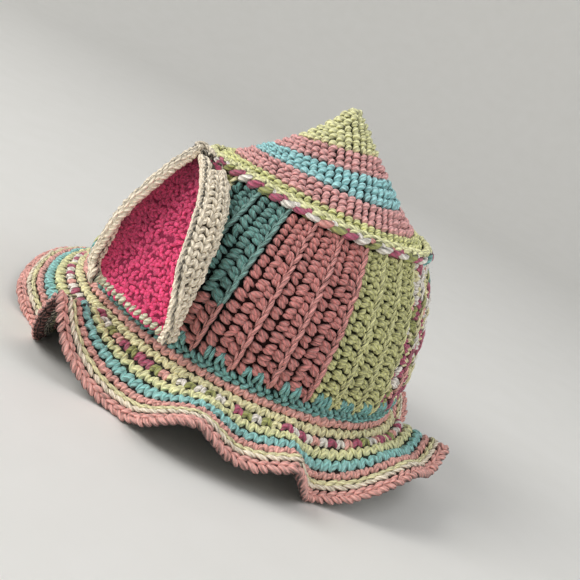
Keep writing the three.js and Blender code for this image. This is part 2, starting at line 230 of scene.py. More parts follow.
def earSurface(sweep, height):
    sweep, height = np.broadcast_arrays(np.asarray(sweep, float), np.asarray(height, float))
    middle = ear["angle"] * degree
    bandShare = np.minimum(ear["height"] * height / hat["bandHeight"], 1)
    width, length, back = bandRing(bandShare)
    out = np.stack([np.cos(middle) / width, np.sin(middle) / length, 0 * width], -1)
    out = out / np.linalg.norm(out, axis=-1, keepdims=True)
    sideways = np.stack([-out[..., 1], out[..., 0], 0 * width], -1)
    roll = ear["rollRadius"] * column(earLevels, height, 2)
    flat = ear["halfWidth"] * column(earLevels, height, 1) - roll
    share = np.abs(sweep)
    curl = ear["rollTurn"] * column(earLevels, height, 5) * degree
    turn = np.maximum(share - ear["flatShare"], 0) / (1 - ear["flatShare"]) * curl
    reach = flat * np.minimum(share / ear["flatShare"], 1) + roll * np.sin(turn)
    across = np.sign(sweep) * reach + ear["halfWidth"] * column(earLevels, height, 3)
    cup = roll * (1 - np.cos(turn))
    bendRadius = hat["bandBottomLength"] ** 2 / hat["bandBottomWidth"]
    bend = np.sqrt(bendRadius ** 2 - across ** 2) - bendRadius
    rise = np.clip((bandShare - ear["braidShare"]) / (1 - ear["braidShare"]), 0, 1)
    stand = hat["ribHeight"] + ear["clearance"] + hat["braidRadius"] * rise * rise * (3 - 2 * rise)
    point = onRing(width, length, back, middle, bandFloor + hat["gap"] + ear["height"] * height)
    away = stand + cup + bend * (1 - column(earLevels, height, 4))
    return point + out * away[..., None] + sideways * across[..., None]


def unit(vectors):
    return vectors / np.maximum(np.linalg.norm(vectors, axis=-1, keepdims=True), 1e-12)


# A surface's point, its two directions and its outward normal
def surfaceFrame(surface, u, v):
    small = 0.002
    u, v = np.broadcast_arrays(np.asarray(u, float), np.asarray(v, float))
    inner = np.clip(v, 0.01, 0.99)
    alongU = unit(surface(u + small, inner) - surface(u - small, inner))
    alongV = unit(surface(u, inner + small) - surface(u, inner - small))
    out = unit(np.cross(alongU, alongV))
    return surface(u, v), alongU, unit(np.cross(out, alongU)), out


# Evenly spaced places along a path on a surface
def evenly(path, pitch, shift=0.0):
    share = np.linspace(0, 1, 1200)
    points = path(share)
    length = np.concatenate([[0], np.cumsum(np.linalg.norm(np.diff(points, axis=0), axis=1))])
    count = max(int(round(length[-1] / pitch)), 1)
    marks = np.mod(np.arange(count) + 0.5 + shift, count) / count * length[-1]
    return np.interp(marks, length, share)


# Gives a mesh, a camera or a lamp its object in the scene
def addObject(name, data):
    made = bpy.data.objects.new(name, data)
    scene.collection.objects.link(made)
    return made


def linear(code):
    parts = np.array([int(code[i:i + 2], 16) for i in (1, 3, 5)]) / 255
    return np.where(parts <= 0.04045, parts / 12.92, ((parts + 0.055) / 1.055) ** 2.4)


# Some yarns come more than once: lighter copies paint light on surfaces that face up, darker copies paint shade
# on the upright band
yarn = {
    "lime": linear("#dfe092"),
    # Lighter copy of the lime: painted light on the cone's tip, the braid's top and a brim round
    "coneLime": linear("#e8e7a8"),
    # Darker copy of the lime: painted shade on the upright band
    "shadedLime": linear("#cfcf85"),
    "rose": linear("#dc8a81"),
    # Darker, more saturated copy of the rose: painted shade on the upright band
    "shadedRose": linear("#c86a65"),
    # Lighter copy of the rose: painted light on the cone, which faces up
    "coneRose": linear("#e7a19f"),
    "turquoise": linear("#62b0ac"),
    # Lighter copy of the turquoise: painted light on the cone, which faces up
    "coneTurquoise": linear("#93d6da"),
    "brimRose": linear("#eba398"),
    "brimTurquoise": linear("#80c8c4"),
    # Darker copy of the turquoise: the ear's shadow painted onto every turquoise panel of the band
    "shadedTurquoise": linear("#358780"),
    "cream": linear("#fbecd2"),
    "ivory": linear("#f3ece2"),
    "yellow": linear("#efe7ae"),
    "pink": linear("#e6437b"),
    "magenta": linear("#b0165a"),
    "olive": linear("#969b3c"),
}
confetti = [("ivory", 0.38), ("magenta", 0.24), ("olive", 0.12), ("brimRose", 0.12), ("yellow", 0.14)]
braidMix = [("ivory", 0.34), ("magenta", 0.34), ("olive", 0.22), ("turquoise", 0.06), ("rose", 0.04)]


# Gathers loops of yarn that lie on surfaces, as rows for the guide mesh
class Loops:
    def __init__(self, seed):
        self.random = np.random.default_rng(seed)
        self.rows = {key: [] for key in ("at", "along", "out", "size", "tint", "chance")}

    # turn leans a loop from the second direction of the surface towards the first, and facing
    # is -1 for loops on the surface's other side
    def add(self, surface, u, v, size, tint, lift=0.0, turn=0.0, wobble=4.0, shade=0.05, facing=1):
        at, alongU, alongV, out = surfaceFrame(surface, u, v)
        count = len(at)
        angle = (turn + self.random.normal(0, wobble, count)) * degree
        along = alongV * np.cos(angle)[:, None] + alongU * np.sin(angle)[:, None]
        size = np.stack(np.broadcast_arrays(*[np.asarray(s, float) for s in size], np.zeros(count))[:3], -1)
        size = size * (1 + self.random.normal(0, 0.09, (count, 3)))
        light = 1 + self.random.normal(0, shade, (count, 1))
        tint = np.broadcast_to(tint, (count, 3)) * np.clip(light, 0.8, 1.2)
        at = at + out * (np.asarray(lift) + self.random.normal(0, 0.22 * mm, count))[:, None]
        at = at + along * self.random.normal(0, 0.2 * mm, (count, 1))
        self.keep(at, along, out * facing, size, tint)

    def keep(self, *arrays):
        for key, values in zip(self.rows, (*arrays, self.random.random(len(arrays[0])))):
            self.rows[key].append(values)

    def arrays(self):
        return {key: np.concatenate(values) for key, values in self.rows.items()}

    # Short runs of one colour each, as in yarn that is dyed in stretches
    def runs(self, count, palette, longest):
        names = [name for name, _ in palette]
        weights = np.array([weight for _, weight in palette])
        picks = [0]
        while len(picks) <= count:
            pick = self.random.choice(len(names), p=weights / weights.sum())
            if pick != picks[-1]:
                picks += [pick] * int(self.random.integers(1, longest + 1))
        return np.array([yarn[names[pick]] for pick in picks[1:count + 1]])


# Closed bean of yarn, one unit wide, long and thick, with its ends bent down into the fabric
def beanMesh(name, sides=6, rings=5, dip=0.16):
    points, corners, coords = [(0, -0.5, -dip)], [], [(0.5, 0)]
    for ring in range(rings):
        y = -0.5 * math.cos(math.pi * (ring + 0.75) / (rings + 0.5))
        radius = 0.5 * (1 - abs(2 * y) ** 2.6) ** (1 / 2.2)
        for side in range(sides):
            angle = fullTurn * side / sides - math.pi / 2
            points.append((radius * math.cos(angle), y, radius * math.sin(angle) - dip * (2 * y) ** 2))
            coords.append((side / sides, y + 0.5))
    points.append((0, 0.5, -dip))
    coords.append((0.5, 1))
    last = len(points) - 1
    for side in range(sides):
        after = (side + 1) % sides
        corners.append((0, 1 + side, 1 + after))
        for ring in range(rings - 1):
            low, high = 1 + ring * sides, 1 + (ring + 1) * sides
            corners.append((low + side, high + side, high + after, low + after))
        end = 1 + (rings - 1) * sides
        corners.append((end + side, last, end + after))
    mesh = bpy.data.meshes.new(name)
    mesh.from_pydata(points, [], corners)
    layer = mesh.uv_layers.new(name="yarnPath")
    for face in mesh.polygons:
        wraps = any(coords[mesh.loops[k].vertex_index][0] > 0.7 for k in face.loop_indices)
        for k in face.loop_indices:
            around, lengthwise = coords[mesh.loops[k].vertex_index]
            layer.data[k].uv = (around + 1 if wraps and around < 0.2 else around, lengthwise)
        face.use_smooth = True
    return addObject(name, mesh)


# Closed sheet behind the loops, between two distances from a surface
def sheetMesh(name, surface, us, vs, inner, outer, tint, joined):
    grid = np.meshgrid(us, vs, indexing="ij")
    at, _, _, out = surfaceFrame(surface, grid[0], grid[1])
    nu, nv = len(us), len(vs)
    points = np.concatenate([(at + out * d).reshape(-1, 3) for d in (outer, inner)])
    faces = []
    turns = nu if joined else nu - 1
    number = lambda side, i, j: side * nu * nv + (i % nu) * nv + j
    for i in range(turns):
        for j in range(nv - 1):
            faces.append([number(0, *p) for p in ((i, j), (i + 1, j), (i + 1, j + 1), (i, j + 1))])
            faces.append([number(1, *p) for p in ((i, j), (i, j + 1), (i + 1, j + 1), (i + 1, j))])
        j = nv - 1
        faces.append([number(0, i + 1, 0), number(0, i, 0), number(1, i, 0), number(1, i + 1, 0)])
        faces.append([number(0, i, j), number(0, i + 1, j), number(1, i + 1, j), number(1, i, j)])
    if not joined:
        i = nu - 1
        for j in range(nv - 1):
            faces.append([number(0, 0, j), number(0, 0, j + 1), number(1, 0, j + 1), number(1, 0, j)])
            faces.append([number(0, i, j + 1), number(0, i, j), number(1, i, j), number(1, i, j + 1)])
    mesh = bpy.data.meshes.new(name)
    mesh.from_pydata(points.tolist(), [], faces)
    mesh.polygons.foreach_set("use_smooth", [True] * len(faces))
    tints = np.broadcast_to(tint(grid[1].ravel()) if callable(tint) else tint, (nu * nv, 3))
    colour = mesh.attributes.new("tint", "FLOAT_COLOR", "POINT")
    colour.data.foreach_set("color", np.tile(np.c_[tints, np.ones(nu * nv)], (2, 1)).ravel())
    return addObject(name, mesh)


# Single fibre that stands off the yarn, one unit long and slightly slanted
def fibreMesh(name):
    foot = [(0.5 * math.cos(a), 0.5 * math.sin(a), 0) for a in (0, fullTurn / 3, 2 * fullTurn / 3)]
    faces = [(2, 1, 0), (0, 1, 3), (1, 2, 3), (2, 0, 3)]
    mesh = bpy.data.meshes.new(name)
    mesh.from_pydata(foot + [(5, 0, 1)], [], faces)
    return addObject(name, mesh)


# Geometry Nodes tree that lays a loop of yarn on every point of a guide, lets fibres stand off
# the loops and adds the sheet behind
def loopTree():
    tree = bpy.data.node_groups.new("YarnLoops", "GeometryNodeTree")
    tree.interface.new_socket("Geometry", in_out="OUTPUT", socket_type="NodeSocketGeometry")
    inputs = {
        "Guide": ("Geometry", None),
        "Loop": ("Object", None),
        "Sheet": ("Object", None),
        "Fibre": ("Object", None),
        "Plumpness": ("Float", 1.0),
        "Fibre length": ("Float", 2.6 * mm),
        "Fibre width": ("Float", 0.05 * mm),
        "Fibres a loop": ("Int", 1),
        "Yarn": ("Material", None),
    }
    for name, (kind, value) in inputs.items():
        made = tree.interface.new_socket(name, in_out="INPUT", socket_type="NodeSocket" + kind)
        if value is not None:
            made.default_value = value

    # Outputs of a new node; an input takes a value, a socket or a list of sockets
    def node(kind, sockets, **settings):
        made = tree.nodes.new(kind)
        for key, value in settings.items():
            setattr(made, key, value)
        for key, value in sockets.items():
            for part in value if isinstance(value, list) else [value]:
                if isinstance(part, bpy.types.NodeSocket):
                    tree.links.new(part, made.inputs[key])
                else:
                    made.inputs[key].default_value = part
        return made.outputs

    def named(name):
        return node("GeometryNodeInputNamedAttribute", {"Name": name}, data_type="FLOAT_VECTOR")["Attribute"]

    def model(name):
        return node("GeometryNodeObjectInfo", {"Object": source[name]}, transform_space="ORIGINAL")["Geometry"]

    def towards(out, along):
        axes = {"primary_axis": "Z", "secondary_axis": "Y"}
        return node("FunctionNodeAxesToRotation", {0: out, 1: along}, **axes)["Rotation"]

    def chance(kind, spread, seed):
        first, result = {"FLOAT": (2, 1), "FLOAT_VECTOR": (0, 0)}[kind]
        sockets = {"Seed": seed, first: spread[0], first + 1: spread[1]}
        return node("FunctionNodeRandomValue", sockets, data_type=kind)[result]

    def anyVector(reach, seed):
        return chance("FLOAT_VECTOR", ((-reach,) * 3, (reach,) * 3), seed)

    source = node("NodeGroupInput", {})
    points = node("GeometryNodeMeshToPoints", {"Mesh": source["Guide"]})["Points"]
    swell = node("ShaderNodeVectorMath", {0: named("size"), "Scale": source["Plumpness"]}, operation="SCALE")
    lay = node("GeometryNodeInstanceOnPoints", {
        "Points": points, "Instance": model("Loop"),
        "Rotation": towards(named("out"), named("along")), "Scale": swell["Vector"],
    })
    copies = {"Geometry": points, "Amount": source["Fibres a loop"]}
    many = node("GeometryNodeDuplicateElements", copies, domain="POINT")
    slide = node("ShaderNodeVectorMath", {0: anyVector(0.3, 3), 1: named("size")}, operation="MULTIPLY")
    move = node("GeometryNodeSetPosition", {"Geometry": many["Geometry"], "Offset": slide["Vector"]})
    lean = node("ShaderNodeVectorMath", {0: named("out"), 1: anyVector(1.2, 5)}, operation="ADD")
    stretch = chance("FLOAT", (0.8, 2.0), 9)
    grow = node("ShaderNodeMath", {0: source["Fibre length"], 1: stretch}, operation="MULTIPLY")
    width = source["Fibre width"]
    form = node("ShaderNodeCombineXYZ", {"X": width, "Y": width, "Z": grow[0]})
    stand = node("GeometryNodeInstanceOnPoints", {
        "Points": move["Geometry"], "Instance": model("Fibre"),
        "Rotation": towards(lean["Vector"], anyVector(1.0, 7)), "Scale": form["Vector"],
    })
    strands = node("GeometryNodeJoinGeometry", {"Geometry": [stand["Instances"], lay["Instances"]]})
    real = node("GeometryNodeRealizeInstances", {"Geometry": strands["Geometry"]})
    both = node("GeometryNodeJoinGeometry", {"Geometry": [model("Sheet"), real["Geometry"]]})
    paint = node("GeometryNodeSetMaterial", {"Geometry": both["Geometry"], "Material": source["Yarn"]})
    node("NodeGroupOutput", {"Geometry": paint["Geometry"]})
    return tree


# One socket of a shader, with arithmetic that adds Math nodes
class Wire:
    def __init__(self, shader, socket):
        self.shader = shader
        self.socket = socket

    def maths(self, operation, first, second):
        return self.shader.node("ShaderNodeMath", {"operation": operation}, {0: first, 1: second})[0]

    def __add__(self, other):
        return self.maths("ADD", self, other)

    __radd__ = __add__

    def __sub__(self, other):
        return self.maths("SUBTRACT", self, other)

    def __rsub__(self, other):
        return self.maths("SUBTRACT", other, self)

    def __mul__(self, other):
        return self.maths("MULTIPLY", self, other)

    __rmul__ = __mul__

    def atLeast(self, least):
        return self.maths("MAXIMUM", self, least)


class Shader:
    def __init__(self, name):
        self.material = bpy.data.materials.new(name)
        self.material.use_nodes = True
        self.tree = self.material.node_tree
        self.tree.nodes.clear()

    def node(self, kind, settings, sockets):
        made = self.tree.nodes.new(kind)
        for key, value in settings.items():
            setattr(made, key, value)
        for key, value in sockets.items():
            if isinstance(value, Wire):
                self.tree.links.new(value.socket, made.inputs[key])
            else:
                made.inputs[key].default_value = value
        return [Wire(self, socket) for socket in made.outputs]

    # Closes the material with a cloth surface
    def cloth(self, colour, bump, sheen):
        settings = {
            "Base Color": colour,
            "Roughness": 0.88,
            "Specular IOR Level": 0.25,
            "Sheen Weight": sheen,
            "Sheen Roughness": 0.45,
            "Normal": bump,
        }
        surface = self.node("ShaderNodeBsdfPrincipled", {}, settings)[0]
        self.node("ShaderNodeOutputMaterial", {}, {"Surface": surface})
        return self.material


# How much each part of the pattern lightens the yarn, what is taken off, and the scales; the top weight
# paints light on the loops' tops and shade on their sides, and the pale colour is a painted highlight
yarnLook = {
    "top": 1.25,
    "ply": 0.65,
    "streaks": 1.4,
    "fibres": 0.5,
    "patches": 0.3,
    "takenOff": 1.32,
    "darkest": 0.04,
    "fibreScale": 1500.0,
    "patchScale": 55.0,
    "paintedHighlight": (1, 0.97, 0.93, 1),
    "bumpStrength": 0.95,
    "bumpDepth": 1.5 * mm,
}


# Plied yarn: painted shade makes it darker between the loops and on their sides, a painted highlight makes it
# pale on their tops, with twisted plies and fine fibres
def yarnMaterial(name, plies=4, twist=1.8, fluff=0.3, sheen=0.12, lightness=0.0, paintedHighlightShare=0.36):
    look = yarnLook
    shader = Shader(name)
    tint = shader.node("ShaderNodeAttribute", {"attribute_name": "tint"}, {})[0]
    chance = shader.node("ShaderNodeAttribute", {"attribute_name": "chance"}, {})[2]
    path = shader.node("ShaderNodeUVMap", {"uv_map": "yarnPath"}, {})[0]
    split = shader.node("ShaderNodeSeparateXYZ", {}, {0: path})
    around, lengthwise = split[0], split[1]
    turn = (around + chance) * (fullTurn * plies) + lengthwise * (fullTurn * twist)
    ply = shader.node("ShaderNodeMath", {"operation": "SINE"}, {0: turn})[0] * 0.5 + 0.5
    spun = shader.node(
        "ShaderNodeCombineXYZ", {}, {0: around * 10 + lengthwise * 3, 1: lengthwise * 2.0, 2: chance * 90}
    )[0]
    streaks = shader.node("ShaderNodeTexNoise", {}, {"Vector": spun, "Scale": 1.0, "Detail": 3.0})[0]
    place = shader.node("ShaderNodeTexCoord", {}, {})[3]  # object coordinates
    fibres, patches = (
        shader.node("ShaderNodeTexNoise", {}, {"Vector": place, "Scale": look[key], "Detail": 2.0})[0]
        for key in ("fibreScale", "patchScale")
    )
    # 1 on a loop's top, 0 underneath: it paints light on the tops and shade on the sides and underneath
    top = 0.5 - shader.node("ShaderNodeMath", {"operation": "COSINE"}, {0: around * fullTurn})[0] * 0.5
    # The shade adds that painted light and shade to the tone of the plies, streaks, fibres and patches
    shade = top * top * look["top"] + ply * look["ply"] + streaks * look["streaks"]
    shade = shade + fibres * look["fibres"] + patches * look["patches"]
    shade = (shade - (look["takenOff"] - lightness)).atLeast(look["darkest"])
    grey = shader.node("ShaderNodeCombineColor", {}, {0: shade, 1: shade, 2: shade})[0]
    toneAndShadeTint = shader.node(
        "ShaderNodeMix", {"data_type": "RGBA", "blend_type": "MULTIPLY"}, {"Factor": 1.0, 6: tint, 7: grey}
    )[2]
    # Painted highlight: a pale colour mixed in where a loop's top meets a light streak
    paintedHighlight = shader.node("ShaderNodeMath", {"operation": "MULTIPLY", "use_clamp": True}, {0: top, 1: streaks})[0]
    colour = shader.node(
        "ShaderNodeMix", {"data_type": "RGBA"}, {"Factor": paintedHighlight * paintedHighlightShare, 6: toneAndShadeTint, 7: look["paintedHighlight"]}
    )[2]
    height = (ply * 0.8 + streaks * 0.8) * (1 - fluff) + fibres * fluff
    relief = {"Strength": look["bumpStrength"], "Distance": look["bumpDepth"], "Height": height}
    return shader.cloth(colour, shader.node("ShaderNodeBump", {}, relief)[0], sheen)


tree = loopTree()
bean = beanMesh("bean")
fibre = fibreMesh("fibre")
knitted = []


def socketName(name):
    return next(item.identifier for item in tree.interface.items_tree if item.name == name)


# Presses the lowest yarn flat on the surface the hat stands on
def pressFlat(mesh, soft=1.2 * mm):
    places = np.empty(len(mesh.vertices) * 3)
    mesh.vertices.foreach_get("co", places)
    heights = places[2::3]
    low = heights < soft
    heights[low] = soft * np.exp((heights[low] - soft) / soft)
    mesh.vertices.foreach_set("co", places)
    mesh.update()


# Turns guide rows into one plain mesh piece that rides on the hat and stands for its node
def knit(name, loops, sheet, material, nodes, mirrored=False, fibres=1):
    rows = loops.arrays()
    guide = bpy.data.meshes.new(name + "_guide")
    guide.from_pydata(rows["at"].tolist(), [], [])
    for key in ("along", "out", "size"):
        guide.attributes.new(key, "FLOAT_VECTOR", "POINT").data.foreach_set("vector", rows[key].ravel())
    tint = np.concatenate([rows["tint"], np.ones((len(rows["tint"]), 1))], 1)
    guide.attributes.new("tint", "FLOAT_COLOR", "POINT").data.foreach_set("color", tint.ravel())
    guide.attributes.new("chance", "FLOAT", "POINT").data.foreach_set("value", rows["chance"])
    thing = addObject(name + "_guide", guide)
    modifier = thing.modifiers.new("loops", "NODES")
    modifier.node_group = tree
    inputs = {"Loop": bean, "Sheet": sheet, "Fibre": fibre, "Fibres a loop": fibres, "Yarn": material}
    for key, value in inputs.items():
        modifier[socketName(key)] = value
    bpy.context.view_layer.update()
    result = thing.evaluated_get(bpy.context.evaluated_depsgraph_get())
    mesh = bpy.data.meshes.new_from_object(result)
    mesh.name = name
    for key in ("along", "out", "size"):
        mesh.attributes.remove(mesh.attributes[key])
    if mirrored:
        mesh.transform(Matrix.Translation((2 * axisX, 0, 0)) @ Matrix.Scale(-1, 4, (1, 0, 0)))
        mesh.flip_normals()
    pressFlat(mesh)
    bpy.data.objects.remove(thing)
    piece = addObject(name, mesh)
    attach(piece, "root")
    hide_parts(*nodes)
    knitted.append((name, len(rows["at"]), len(mesh.polygons)))
    return piece


woolMaterial = yarnMaterial("plied yarn")
# The ears' cream yarn is lightened by 0.04 over the plain yarn: a little painted light
litCreamMaterial = yarnMaterial("plied cream yarn", lightness=0.04)
liningMaterial = yarnMaterial("fuzzy lining yarn", plies=3, twist=1.2, fluff=0.75, lightness=0.25, paintedHighlightShare=0.1)


# Colour of a sheet behind the loops: the yarn's colour scaled, painted shade in the gaps between the loops; the
# yarn material lowers the sheets further
def paintedGapShade(name, share=0.45):
    return yarn[name] * share


# Evenly spaced angles once round
def openRound(count):
    return np.linspace(0, fullTurn, count + 1)[:-1]


# Cone: rounds of slanted loops, one for each stitch
cone = {
    "roundHeight": 4.7 * mm,
    "stitchWidth": 5.0 * mm,
    "loopWidth": 4.6 * mm,
    "loopLength": 5.9 * mm,
    "loopThickness": 5.4 * mm,
    "lean": 36,
    "wobble": 13,
    "lift": 0.7 * mm,
    "footStretch": 1.25,
    "tipLoops": 4,
    "tipLoop": (3.2 * mm, 4.4 * mm, 4 * mm),
    "tipPlace": 0.985,
}
# node, colour, slot, from, to
coneStripes = [
    ("cone_lime_lower", "lime", "yarn_lime", 0, 0.1),
    ("cone_rose_lower", "coneRose", "yarn_rose", 0.1, 0.22),
    ("cone_turquoise", "coneTurquoise", "yarn_turquoise", 0.22, 0.383),
    ("cone_rose_upper", "coneRose", "yarn_rose", 0.383, 0.6),
    ("cone_tip_lime", "coneLime", "yarn_lime", 0.6, 1),
]
sideShares = np.linspace(0, 1, 400)
sidePoints = coneSurface(0.0, sideShares)
sideLength = np.concatenate([[0], np.cumsum(np.linalg.norm(np.diff(sidePoints, axis=0), axis=1))])
coneRounds = int(round(sideLength[-1] / cone["roundHeight"]))
roundShares = np.interp((np.arange(coneRounds) + 0.4) / coneRounds * sideLength[-1], sideLength, sideShares)
for number, (name, colour, slot, low, high) in enumerate(coneStripes):
    loops = Loops(10 + number)
    for index, share in enumerate(roundShares):
        if not low <= share < high:
            continue
        path = lambda t, s=share: coneRound(t * fullTurn, s)
        turns = evenly(path, cone["stitchWidth"], 0.5 * (index % 2)) * fullTurn
        # Rounds that tilt stand further apart at the back, so their loops are longer there
        rise = (column(coneTilts, share + 0.02, 1) - column(coneTilts, share - 0.02, 1)) / 0.04
        length = cone["loopLength"] * (cone["footStretch"] if index == 0 else 1) * (1 + rise * np.sin(turns))
        size = (cone["loopWidth"], length, cone["loopThickness"])
        loops.add(coneRound, turns, np.full(len(turns), share), size, yarn[colour],
                  -hat["wall"] / 2 + cone["lift"], cone["lean"], wobble=cone["wobble"])
    sheet = sheetMesh(
        name + "_sheet", coneRound, openRound(48), np.linspace(low, min(high, cone["tipPlace"]), 7),
        -3.0 * mm, -1.8 * mm, paintedGapShade(colour), True,
    )
    if high == 1:
        count = cone["tipLoops"]
        loops.add(coneSurface, np.arange(count) * fullTurn / count, np.full(count, cone["tipPlace"]),
                  cone["tipLoop"], yarn[colour], -2 * mm, 15)
    knit(name + "_knit", loops, sheet, woolMaterial, [name])
print("cone", coneRounds, "rounds")

# Braid on the seam: a chain of single loops, each of another colour, with pale rows behind it
braid = {
    "pitch": 7.6 * mm,
    "loopWidth": 4.7 * mm,
    "loopLength": 10.6 * mm,
    "loopThickness": 4.8 * mm,
    "lean": 20,
    "paleFrom": 0.8,
}


def braidSurface(angle, share):
    width, length, back = bandRing(1)
    turn = (share - 0.5) * math.pi
    radius = hat["braidRadius"]
    normal = unit(np.stack([np.cos(angle) / width, np.sin(angle) / length, 0 * angle], -1))
    point = onRing(width, length, back, angle, seamFloor - seamDip(angle))
    ahead = np.asarray(radius * (np.cos(turn) - 0.5))[..., None]
    rise = np.stack(np.broadcast_arrays(0 * angle, 0 * angle, radius * np.sin(turn)), -1)
    return point + normal * ahead + rise


# place over the braid, lean, shift along it, size, lift
braidRows = [
    (0.42, 90 - braid["lean"], 0.0, 1.0, -0.3 * mm),
    (0.2, 108, 0.4, 0.72, -1.2 * mm),
    (0.64, 104, 0.6, 0.74, -1.2 * mm),
    (0.82, 70, 0.2, 0.85, -1.2 * mm),
    (1.0, 110, 0.7, 0.85, -1.0 * mm),
]
loops = Loops(20)
for share, lean, shift, size, lift in braidRows:
    turns = evenly(lambda t, s=share: braidSurface(t * fullTurn, s), braid["pitch"], shift) * fullTurn
    tints = yarn["coneLime"] if share > braid["paleFrom"] else loops.runs(len(turns), braidMix, 1)
    loops.add(braidSurface, turns, np.full(len(turns), share),
              [size * braid[key] for key in ("loopWidth", "loopLength", "loopThickness")], tints,
              lift, lean, wobble=8)
sheet = sheetMesh("crown_braid_sheet", braidSurface, openRound(96), np.linspace(0, 1, 7),
                  -2.8 * mm, -1.6 * mm, paintedGapShade("olive"), True)
knit("crown_braid_knit", loops, sheet, woolMaterial, ["crown_braid"])
print("braid")

# Ribbed band: each rib is three columns of knobs, of two strands each, with holes between them,
# made darker with painted shade on their loops and sheet, and a slim chain on its ridge
band = {
    "start": -18,
    "partsRound": 48,
    "rowPitch": 7.0 * mm,
    "ridgePlace": 0.9,
    "ridgeLength": 9.4 * mm,
    "ridgeWidth": 2.7 * mm,
    "ridgeThickness": 3.6 * mm,
    "ridgeLean": 11,
    "ridgeSlide": 1.5 * mm,
    "ridgePaintedHighlight": 1.12,
    "strandShare": 0.33,
    "strandWidth": 3.8 * mm,
    "strandThickness": 5.2 * mm,
    "strandApart": 0.19,
    "strandLift": -1.5 * mm,
    "holeShare": 0.28,
    "holeWidth": 3.2 * mm,
    "holeThickness": 4.0 * mm,
    "holeLift": -2.4 * mm,
    "holePaintedShade": 0.75,
    "stepHeight": 0.34,
    "stepRibs": 0.75,
    "ends": (0.012, 0.988),
}
# place across the rib, lean, shift up it
knobColumns = [(0.11, 106, 0.0), (0.44, 74, 0.4), (0.7, 106, 0.15)]
holePlaces = (0.27, 0.57)
# colour, parts of the round, ribs
panelOrder = [("turquoise", 4, 2), ("rose", 5, 3), ("lime", 4, 3), ("confetti", 3, 2)]
# The band takes the darker copies of its yarns: painted shade
bandTints = {"turquoise": "shadedTurquoise", "rose": "shadedRose", "lime": "shadedLime", "confetti": "ivory"}


# Colours of loops along a rib; below a step, the turquoise panel's last rib is rose
def ribTints(loops, colour, ribsToEnd, heights):
    if colour == "confetti":
        return loops.runs(len(heights), confetti, 2)
    tints = np.tile(yarn[bandTints[colour]], (len(heights), 1))
    if colour == "turquoise" and ribsToEnd < band["stepRibs"]:
        tints[heights < band["stepHeight"]] = yarn["shadedRose"]
    return tints


def addRib(loops, colour, start, ribTurn, ribsToEnd):
    def rows(place, shift):
        angle = start + place * ribTurn
        heights = evenly(lambda t: bandSurface(angle + 0 * t, t), band["rowPitch"])
        heights = heights + shift / len(heights)
        ring = bandSurface(angle + 0 * heights, heights)[:, :2] - [axisX, axisY]
        return angle, heights, 1 / len(heights), ribTurn * np.linalg.norm(ring, axis=1)

    def lay(angle, heights, size, tints, lift, lean, wobble):
        inside = np.clip(heights, *band["ends"])
        loops.add(bandSurface, angle + 0 * heights, inside, size, tints, lift, lean, wobble)

    for place, lean, shift in knobColumns:
        angle, heights, row, pitch = rows(place, shift)
        tints = ribTints(loops, colour, ribsToEnd - place, heights)
        for strand in (-band["strandApart"], band["strandApart"]):
            size = (band["strandWidth"], pitch * band["strandShare"], band["strandThickness"])
            lay(angle, heights + strand * row, size, tints, band["strandLift"], lean, 16)
    angle, heights, row, pitch = rows(holePlaces[1], 0.25)
    tints = ribTints(loops, colour, ribsToEnd - holePlaces[1], heights)
    size = (band["holeWidth"], pitch * band["holeShare"], band["holeThickness"])
    # Loops far down in the holes are darker: painted shade
    lay(angle, heights, size, tints * band["holePaintedShade"], band["holeLift"], 90, 20)
    angle, heights, row, pitch = rows(band["ridgePlace"], 0)
    tints = ribTints(loops, colour, ribsToEnd - band["ridgePlace"], heights)
    # The ridge's chain is made paler and lighter: a painted highlight on the ridge
    tints = mix(tints, yarn["ivory"], 0.07) * band["ridgePaintedHighlight"]
    for strand, size, lift in ((1, 1.0, 0.4 * mm), (-1, 0.75, -0.3 * mm)):
        slide = (strand - 1) / 2 * band["ridgeSlide"] / pitch * ribTurn
        size = (band["ridgeWidth"] * size, band["ridgeLength"] * size, band["ridgeThickness"])
        lay(angle + slide, heights + strand * 0.25 * row, size, tints, lift, strand * band["ridgeLean"], 5)


partTurn = fullTurn / band["partsRound"]
firstPart = 0
toothTurns = []
for lap in (1, 2, 3):
    for colour, parts, ribs in panelOrder:
        name = f"band_{colour}_{lap}"
        loops = Loops(100 + firstPart)
        low = band["start"] * degree + firstPart * partTurn
        ribTurn = parts * partTurn / ribs
        for rib in range(ribs):
            addRib(loops, colour, low + rib * ribTurn, ribTurn, ribs - rib)
            toothTurns += [low + (rib + place) * ribTurn for place in holePlaces]
        sheet = sheetMesh(name + "_sheet", bandSurface, np.linspace(low, low + ribs * ribTurn, parts * 3 + 1),
                          np.linspace(0, 1, 13), -3.2 * mm, -2.4 * mm, paintedGapShade(bandTints[colour], 0.4), False)
        knit(name + "_knit", loops, sheet, woolMaterial, [name])
        firstPart += parts
print("band")

# Base round: two rows of loops, with a tooth up into each column of the ribs' holes
base = {
    "pitch": 5.0 * mm,
    "loop": (3.4 * mm, 5.6 * mm, 5.2 * mm),
    "tooth": (2.9 * mm, 8.5 * mm, 4.4 * mm),
    "toothPlace": 0.035,
    "toothApart": 0.1,
}


def baseSurface(angle, share):
    width, length, back = bandRing(0)
    return onRing(width, length, back, angle, brimFloor + share * (bandFloor - brimFloor))


